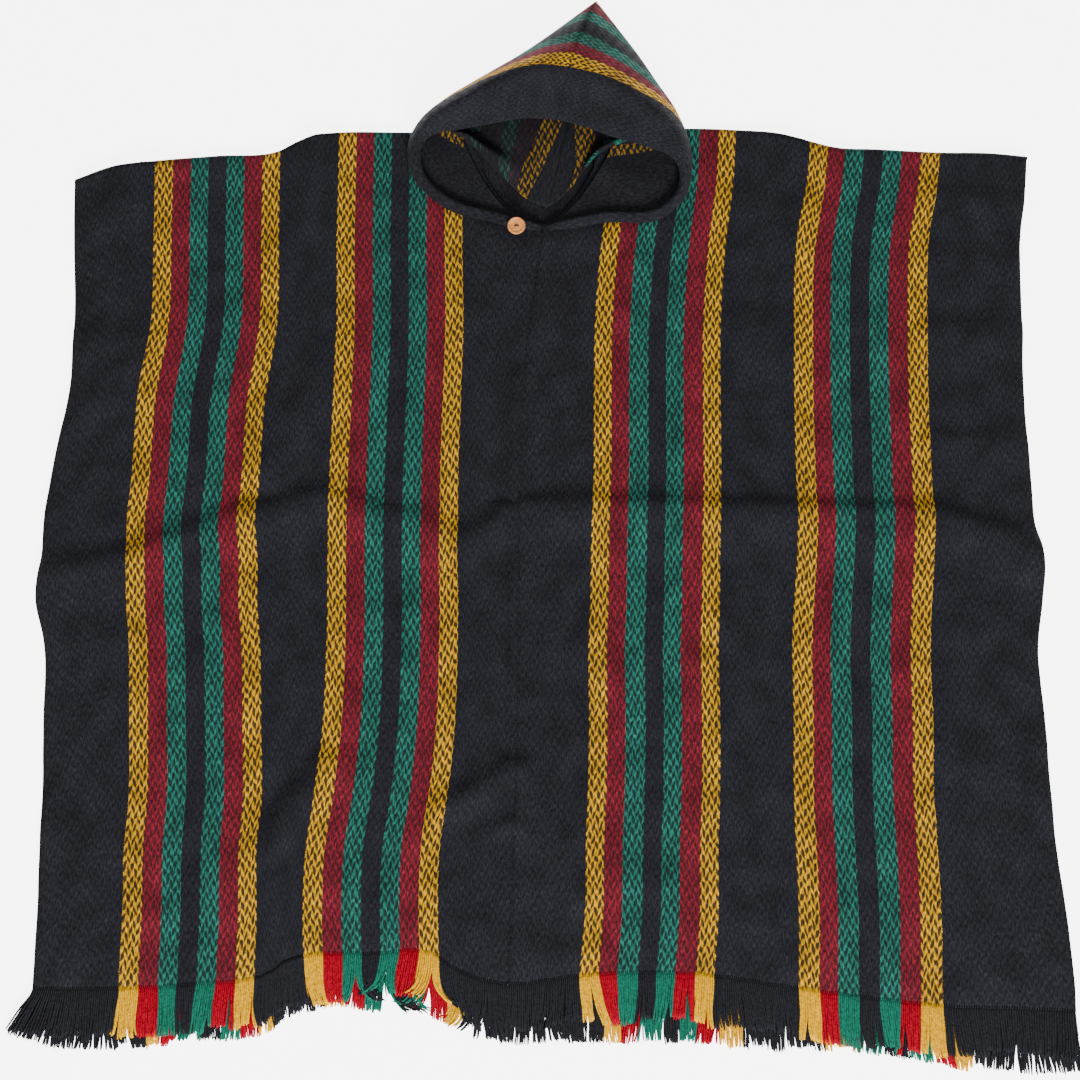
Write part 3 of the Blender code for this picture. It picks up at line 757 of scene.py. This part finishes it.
def hood_section(row):
    """One section of the hood, evenly spaced: from the face edge over the top and round the
    outer bend, then underneath to the neck seam, on a cubic through those points. Near the
    neck seam it stands up in a ridge that ends at the seam: ridge * exp(-((d - a) / b)^2),
    with d the distance from the seam, and a and b the first two of RIDGE. The last column is
    how far across the grain each point lies from the face edge: its run as far as the bend,
    then by even steps to the table's last column."""
    face, top, bend = row[0:3] * MM, row[3:6] * MM, row[6:9] * MM
    inward = row[9:11] * MM - bend[:2]
    reach = math.hypot(*inward)
    distance = np.linspace(UNDER_BEND, reach, 7)
    place = bend[:2] + inward * distance[:, None] / reach
    left = reach - distance
    ridge_at, ridge_width, ridge_foot = RIDGE
    rise = row[11] * MM * np.exp(-(((left - ridge_at) / ridge_width) ** 2))
    rise *= smooth_step(left / ridge_foot)
    under = np.column_stack([place, resting_height(*place.T) + rise])
    control = np.array([face, (face + top) / 2 + (0, 0, FACE_SWELL), top, bend, *under])
    steps = np.linalg.norm(np.diff(control, axis=0), axis=1)
    key = np.concatenate([[0], np.cumsum(np.sqrt(steps))])
    fine_key = np.linspace(0, key[-1], 600)
    fine = through_rows(np.column_stack([key, control]), fine_key)
    run = run_along(fine)
    even = np.linspace(0, run[-1], HOOD_RUN)
    section = along_line(even, run, fine)
    section[:, 2] = np.maximum(section[:, 2], CLOTH / 2)
    bend_run = np.interp(key[3], fine_key, run)
    grain = np.interp(even, (0, bend_run, run[-1]), (0, bend_run, row[12] * MM))
    return np.column_stack([section, grain])


def hood_half(first, last):
    """Sections of one half and their grain, with a little unevenness where the cloth stands
    free. Towards the neck point, the end at f = 0, the roll sinks into the seam, by
    1 - NECK_SINK * (1 - f / SINK_RUN)^2."""
    rows = np.column_stack([np.arange(len(HOOD)), np.array(HOOD, float)])[first:last + 1]
    drawn = through_rows(rows, np.linspace(first, last, HOOD_SECTIONS))
    sections = np.array([hood_section(row) for row in drawn])
    points, grain = sections[..., :3], sections[..., 3]
    ends = (0, 1) if first == 0 else (1, 0)
    from_neck = np.linspace(*ends, HOOD_SECTIONS)
    taper = 1 - NECK_SINK * (1 - np.clip(from_neck / SINK_RUN, 0, 1)) ** 2
    seam = points[:, -1:]
    points = seam + (points - seam) * taper[:, None, None]
    free = smooth_step((points[..., 2] - FREE_FROM) / FREE_RISE)
    points[..., 2] += HOOD_UNEVEN * free * undulation(points[..., 0], points[..., 1], 8, 0.040)
    return points, grain


def hood_uv(points, grain):
    """Across: the grain, from the face edge. Along: the run round the mouth, a third of the
    way down each section, where the hood is widest."""
    along = run_along(points[:, HOOD_RUN // 3])[:, None]
    return np.stack([grain, np.broadcast_to(along, grain.shape)], axis=-1)


hood_left_points, hood_left_grain = hood_half(0, CREST)
hood_right_points, hood_right_grain = hood_half(CREST, len(HOOD) - 1)
hood_left_points[-1, :, 0] -= SEAM_GAP / 2
hood_right_points[0, :, 0] += SEAM_GAP / 2
hood_left_normals = sheet_normals(hood_left_points)
hood_right_normals = sheet_normals(hood_right_points)
crest_normals = unit(hood_left_normals[-1] + hood_right_normals[0])
hood_left_normals[-1] = hood_right_normals[0] = crest_normals

hood_wool = cloth_finish("hood_wool", HOOD_STRIPES, 0)
hood_inside = cloth_finish("hood_wool_inside", HOOD_STRIPES, 0, True)
for name, node, points, normals, grain in (
    ("hood_left_cloth", "hood_left", hood_left_points, hood_left_normals, hood_left_grain),
    ("hood_right_cloth", "hood_right", hood_right_points, hood_right_normals, hood_right_grain),
):
    half = put_sheet(name, points, normals, hood_uv(points, grain))
    half.data.materials.append(hood_wool)
    half.data.materials.append(hood_inside)
    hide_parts(node)

# The sewing: black wool thread in small slanted overcast stitches, down the middle seam front
# and back, and along the crest of the hood. The thread lies in the nap and hardly shows.

STITCH_PITCH = 0.0060
STITCH_LENGTH = 0.0038
STITCH_SLANT = 0.45  # along the seam for each unit across it
STITCH_SINK = 0.0006  # of a stitch's ends below the face of the cloth
STITCH_ARCH = 0.0007  # rise of its middle over its ends
THREAD = 0.00036  # radius
THREAD_SHADES = ((0.008, 0.008, 0.010, 1.0), (0.026, 0.026, 0.033, 1.0))


def thread_finish():
    """Black two-ply thread: near black, with a streak along the ply."""
    material, tree, shader = new_finish("black_thread", 0.8, 0.25)
    fuzz = place_group(tree, nap, *cloth_lengths(tree))
    shade = mixed(tree, fuzz.outputs["Fibre"], *THREAD_SHADES)
    tree.links.new(shade, shader.inputs["Base Color"])
    return material


def tubes(centres, side, radius, sides=4):
    """Closed tubes along rows of centres: radius * (cos a * side + sin a * up) round each
    point, with a flat cap at both ends. Returns the points and the faces."""
    count, steps = centres.shape[:2]
    turn = (np.arange(sides) + 0.5) * 2 * math.pi / sides
    up = np.zeros_like(side)
    up[..., 2] = 1.0
    ring = np.cos(turn)[:, None] * side[:, :, None] + np.sin(turn)[:, None] * up[:, :, None]
    points = centres[:, :, None] + radius[:, :, None, None] * ring
    number = np.arange(count * steps * sides).reshape(count, steps, sides)
    turned = np.roll(number, -1, axis=2)
    walls = np.stack([number[:, :-1], turned[:, :-1], turned[:, 1:], number[:, 1:]], axis=-1)
    caps = np.concatenate([number[:, 0, ::-1], number[:, -1]])
    faces = np.concatenate([walls.reshape(-1, 4), caps.reshape(-1, 4)])
    return points.reshape(-1, 3), faces


def stitches(name, line, normals):
    """Overcast stitches along a seam: each a small arch across the line, slanted a little,
    whose middle stands just above the cloth and whose ends go into it."""
    run = run_along(line)
    at = np.arange(STITCH_PITCH / 2, run[-1], STITCH_PITCH)
    middle = along_line(at, run, line)
    up = along_line(at, run, normals)
    ahead = along_line(at + 0.002, run, line) - middle
    ahead[-1] = ahead[-2]
    ahead = unit(ahead)
    reach = unit(np.cross(up, ahead) + STITCH_SLANT * ahead)
    share = np.linspace(-1, 1, 7)
    arch = CLOTH / 2 - STITCH_SINK + STITCH_ARCH * (1 - share**4)
    centres = (
        middle[:, None]
        + reach[:, None] * (share * STITCH_LENGTH / 2)[:, None]
        + up[:, None] * arch[:, None]
    )
    side = np.broadcast_to(np.cross(reach, up)[:, None], centres.shape)
    points, faces = tubes(centres, side, np.full(centres.shape[:2], THREAD))
    uv = np.repeat(np.tile(share * STITCH_LENGTH, len(at)), 4)
    piece = put_mesh(name, points, faces, np.column_stack([uv * 0, uv]))
    piece.data.materials.append(black_thread)
    return piece


on_front = slice(BACK_ROWS + ROLL_ROWS + 2, -2)
on_back = slice(2, BACK_ROWS - 1)
on_crest = slice(1, 70)
black_thread = thread_finish()
seam_line = (left_points[:, -1] + right_points[:, 0]) / 2
front_seam = stitches("front_seam_stitches", seam_line[on_front], -seam_normals[on_front])
back_seam = stitches("back_seam_stitches", seam_line[on_back], -seam_normals[on_back])
crest_line = (hood_left_points[-1] + hood_right_points[0]) / 2
crest_out = crest_normals * np.sign(crest_normals[8, 2])
crest_seam = stitches("crest_stitches", crest_line[on_crest], crest_out[on_crest])

# The fringe: the warp ends, left loose below the last pick of weft. They are two-ply wool, in
# the colours of the warp and brighter than in the cloth, and they lie in locks that part,
# lean and curl. The back's fringe lies under the front's and shows below it.

FRINGE = 0.050
YARN_PITCH = 0.0020
YARN = 0.00118  # radius
SIDE_GAP = YARN * 0.70  # from a panel's edge to its first yarn
YARN_LAYER = 0.0012  # from the lower layer of yarns to the upper
ROOT_INSIDE = 0.0030  # how far inside the hem a yarn starts
ROOT_HEIGHTS = (-0.0008, 0.0003)  # of the lower and upper yarns from the middle of the cloth
FRONT_END = 0.0042  # height of the ends of the front's lower yarns
BACK_END = YARN + 0.0004  # and of the back's
ROOT_THIN = 0.25  # share of the radius that is missing at the root
END_THIN = 0.30  # and at the end
LOCKS = 120  # more than a hem has
LOCK_WIDTHS = (0.007, 0.026)
LOCK_DRAW = 0.10  # share of the way to the lock's middle that its ends go
LOCK_LENGTH = 0.05  # spread of the length, from lock to lock
YARN_LENGTH = 0.020  # and from yarn to yarn
# Angles are in radians.
LOCK_LEAN = 0.04  # from lock to lock
HEM_LEAN = 0.14  # from one stretch of the hem to another
YARN_CURL = 0.05  # from yarn to yarn
YARN_WAVE = 0.10  # of a yarn as it goes
CURL = (0.10, 0.80, -0.14, 0.080)  # usual, how much more at one X, that X, and its reach
SIDE_LEANS = ((-0.60, -0.519, 0.024), (0.12, 0.547, -0.030))  # turn, at X, fading over
YARN_COLOURS = {
    "black": (0.0165, 0.0165, 0.0210, 1.0),
    "yellow": (0.820, 0.430, 0.000, 1.0),
    "red": (0.380, 0.000, 0.014, 1.0),
    "green": (0.010, 0.160, 0.100, 1.0),
}


def yarn_finish(name, stripes, first):
    """Loose warp yarn: the colour of its stripe, streaked along its length by the twist."""
    material, tree, shader = new_finish(name, 0.85, 0.12)
    across, along = cloth_lengths(tree)
    ramp = stripe_ramp(tree, math_node(tree, "SUBTRACT", across, first), stripes, YARN_COLOURS)
    finer = math_node(tree, "MULTIPLY", across, 3.0), math_node(tree, "MULTIPLY", along, 1.6)
    fuzz = place_group(tree, nap, *finer)
    streaks = math_node(tree, "MULTIPLY_ADD", fuzz.outputs["Fibre"], 1.6, 0.20)
    tree.links.new(shaded(tree, ramp.outputs["Color"], streaks), shader.inputs["Base Color"])
    return material


def fringe_yarns(name, node, points, across, front, seed, skew):
    """Yarns along one hem, in two layers. Each starts at the hem, and its heading turns by
    lean + curl * s^3 as it goes, where the lean and curl belong to its lock; a lock's yarns
    also draw together towards its middle. Lengths differ from lock to lock."""
    rng = np.random.default_rng(seed)
    hem = points[-1] if front else points[0]
    count = int(np.ptp(across) / YARN_PITCH)
    roots = np.linspace(across[0] + SIDE_GAP, across[-1] - SIDE_GAP, count)
    roots = np.concatenate([roots, roots[:-1] + YARN_PITCH / 2])
    lower = np.arange(len(roots)) > len(roots) // 2
    start = along_line(roots, across, hem)

    borders = across[0] + np.cumsum(rng.uniform(*LOCK_WIDTHS, LOCKS))
    lock = np.searchsorted(borders, roots)
    low = np.concatenate([[across[0]], borders])[lock]
    middle = (low + borders[lock]) / 2
    lean = rng.normal(0, LOCK_LEAN, LOCKS + 1)[lock]
    lean += HEM_LEAN * undulation(roots, 0 * roots, seed, 0.11)
    usual, more, at, reach = CURL
    strong = usual + more * np.exp(-(((start[:, 0] - at) / reach) ** 2))
    curl = rng.normal(0, 1.0, LOCKS + 1)[lock] * strong + rng.normal(0, YARN_CURL, len(roots))
    for turn, edge, run in SIDE_LEANS:
        lean += turn * np.exp(-(start[:, 0] - edge) / run)
    uneven = rng.normal(0, LOCK_LENGTH, LOCKS + 1)[lock] + rng.normal(0, YARN_LENGTH, len(roots))
    length = FRINGE * (1 + uneven)

    share = np.linspace(0, 1, 11)
    heading = lean[:, None] * smooth_step(share / 0.35) + curl[:, None] * share**3
    heading += YARN_WAVE * np.sin(share * 9 + roots[:, None] * 900) * share
    step = length[:, None] / (len(share) - 1)
    x = np.concatenate([0 * step, np.cumsum(np.sin(heading[:, 1:]) * step, axis=1)], axis=1)
    y = np.concatenate([0 * step, np.cumsum(-np.cos(heading[:, 1:]) * step, axis=1)], axis=1)
    x += (middle - roots)[:, None] * LOCK_DRAW * share**3
    root_height = start[:, 2] + np.where(lower, *ROOT_HEIGHTS)
    end_height = FRONT_END if front else BACK_END
    end_height = end_height + np.where(lower, 0, YARN_LAYER)
    end_height += rng.uniform(0, YARN_LAYER, len(roots))
    height = root_height[:, None] + (end_height - root_height)[:, None] * smooth_step(share * 1.4)
    centres = np.stack([start[:, 0:1] + x, start[:, 1:2] + y + ROOT_INSIDE, height], axis=-1)
    side = np.stack([np.cos(heading), np.sin(heading), 0 * heading], axis=-1)
    plump = 1 - ROOT_THIN + ROOT_THIN * smooth_step(share * 5) - END_THIN * share**8
    radius = YARN * plump * np.ones_like(heading)
    tube_points, faces = tubes(centres, side, radius)
    uv_across = np.repeat(roots - skew, len(share) * 4)
    uv_along = np.repeat(np.tile(share * FRINGE, len(roots)), 4)
    piece = put_mesh(name, tube_points, faces, np.column_stack([uv_across, uv_along]))
    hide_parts(node)
    return piece


left_yarn = yarn_finish("left_yarn", left_stripes, -sum(LEFT_WIDTHS))
right_yarn = yarn_finish("right_yarn", right_stripes, 0)
for name, points, across, front, seed, finish in (
    ("front_left", left_points, left_across, True, 11, left_yarn),
    ("front_right", right_points, right_across, True, 12, right_yarn),
    ("back_left", left_points, left_across, False, 13, left_yarn),
    ("back_right", right_points, right_across, False, 14, right_yarn),
):
    skew = 0.0 if front else BACK_SKEW
    fringe = fringe_yarns(
        f"fringe_{name}_yarns", f"fringe_{name}", points, across, front, seed, skew
    )
    fringe.data.materials.append(finish)

# The button at the neck point: turned coconut shell or pale wood, with a raised rim and two
# holes, sewn on with black thread.

BUTTON_AT = (-0.026, 0.319)
GRAIN = (160, 700, 400)  # streaks in a metre, along X, Y and Z
BUTTON_RIM = 0.0010  # how far the face lies below the rim
STRAND = 0.00042  # radius of the thread
STRAND_REACH = 0.0021  # from the middle of the button to a hole
STRAND_APART = 0.00035  # from the middle line to each of the two strands
STRAND_ARCH = 0.0006  # rise of a strand between the holes
STRAND_END = 0.0016  # how far its ends go into the holes
STRAND_UV = 0.003


def wood_finish():
    """Pale turned shell: fine growth streaks across the face, and small darker flecks."""
    material, tree, shader = new_finish("button_shell", 0.5, 0.5)
    place = tree.nodes.new("ShaderNodeTexCoord")
    grain = tree.nodes.new("ShaderNodeMapping")
    middle = [-at * scale for at, scale in zip((*BUTTON_AT, 0), GRAIN)]
    grain.inputs["Location"].default_value = middle
    grain.inputs["Scale"].default_value = GRAIN
    tree.links.new(place.outputs["Object"], grain.inputs["Vector"])
    streak = tree.nodes.new("ShaderNodeTexNoise")
    streak.inputs["Scale"].default_value = 1.0
    streak.inputs["Detail"].default_value = 4.0
    tree.links.new(grain.outputs[0], streak.inputs["Vector"])
    tone = tree.nodes.new("ShaderNodeValToRGB")
    shades = ((0.30, (0.50, 0.16, 0.035, 1)), (0.62, (0.95, 0.39, 0.10, 1)))
    for stop, (position, colour) in zip(tone.color_ramp.elements, shades):
        stop.position = position
        stop.color = colour
    tree.links.new(streak.outputs["Fac"], tone.inputs["Fac"])
    tree.links.new(tone.outputs["Color"], shader.inputs["Base Color"])
    shine = math_node(tree, "MULTIPLY_ADD", streak.outputs["Fac"], 0.25, 0.30)
    tree.links.new(shine, shader.inputs["Roughness"])
    add_bump(tree, shader, streak.outputs["Fac"], 0.2, 0.0002)
    return material


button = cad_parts["button"]
button.data.materials.clear()
button.data.materials.append(wood_finish())
button_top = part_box("button")[1][2]
share = np.linspace(-1, 1, 13)
dip = BUTTON_RIM - STRAND_ARCH * (1 - share**4) + STRAND_END * np.abs(share) ** 10
strand = np.stack([
    BUTTON_AT[0] + STRAND_REACH * np.sign(share) * np.abs(share) ** 0.8,
    np.full_like(share, BUTTON_AT[1]),
    button_top - dip,
], axis=-1)
strands = np.stack([strand - (0, STRAND_APART, 0), strand + (0, STRAND_APART, 0.0001)])
strand_side = np.broadcast_to((0.0, 1.0, 0.0), strands.shape)
thread_points, thread_faces = tubes(strands, strand_side, np.full(strands.shape[:2], STRAND))
thread_uv = np.repeat(np.tile(share * STRAND_UV, 2), 4)
button_thread = put_mesh(
    "button_thread", thread_points, thread_faces, np.column_stack([thread_uv * 0, thread_uv])
)
button_thread.data.materials.append(black_thread)

# The setting: a plain pale floor, soft light from the hem side, and the camera over the
# poncho, 12 degrees from straight down.

FLOOR_HALF = 4  # half a side
FLOOR_Z = -0.0004  # just clear of the cloth
FLOOR_GLOW = 5.5  # evens out the floor's tone

floor_mesh = bpy.data.meshes.new("floor")
floor_corners = [
    (x * FLOOR_HALF, y * FLOOR_HALF, FLOOR_Z) for x, y in ((-1, -1), (1, -1), (1, 1), (-1, 1))
]
floor_mesh.from_pydata(floor_corners, [], [(0, 1, 2, 3)])
floor = bpy.data.objects.new("floor", floor_mesh)
bpy.context.scene.collection.objects.link(floor)
pale, _, pale_shader = new_finish("pale_floor", 0.9, 0.5)
pale_shader.inputs["Base Color"].default_value = (0.93, 0.93, 0.93, 1)
pale_shader.inputs["Emission Color"].default_value = (1, 1, 1, 1)
pale_shader.inputs["Emission Strength"].default_value = FLOOR_GLOW
floor_mesh.materials.append(pale)
floor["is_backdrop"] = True

world = bpy.data.worlds.new("studio")
world.use_nodes = True
sky = world.node_tree.nodes["Background"]
sky.inputs["Color"].default_value = (1.0, 1.0, 1.0, 1.0)
sky.inputs["Strength"].default_value = 0.48
bpy.context.scene.world = world

for name, place, size, power, turn in (
    ("key_light", (0.8, -4.9, 3.05), 2.0, 560, (58, 0, 9)),
    ("fill_light", (-1.2, 1.8, 2.6), 2.0, 10, (-36, 0, 30)),
):
    lamp = bpy.data.lights.new(name, "AREA")
    lamp.shape = "SQUARE"
    lamp.size = size
    lamp.energy = power
    light = bpy.data.objects.new(name, lamp)
    light.location = place
    light.rotation_euler = [math.radians(angle) for angle in turn]
    bpy.context.scene.collection.objects.link(light)

ELEVATION = math.radians(78)
DISTANCE = 2.1
camera_data = bpy.data.cameras.new("camera")
camera_data.sensor_width = 36
camera_data.lens = 65.1
camera = bpy.data.objects.new("camera", camera_data)
camera.location = (0, -0.031 - DISTANCE * math.cos(ELEVATION), DISTANCE * math.sin(ELEVATION))
camera.rotation_euler = (math.pi / 2 - ELEVATION, 0, 0)
bpy.context.scene.collection.objects.link(camera)
bpy.context.scene.camera = camera

sizes = {"cad": cad_box, "visual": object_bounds()}
sizes = {name: [[round(float(c), 5) for c in corner] for corner in box] for name, box in sizes.items()}
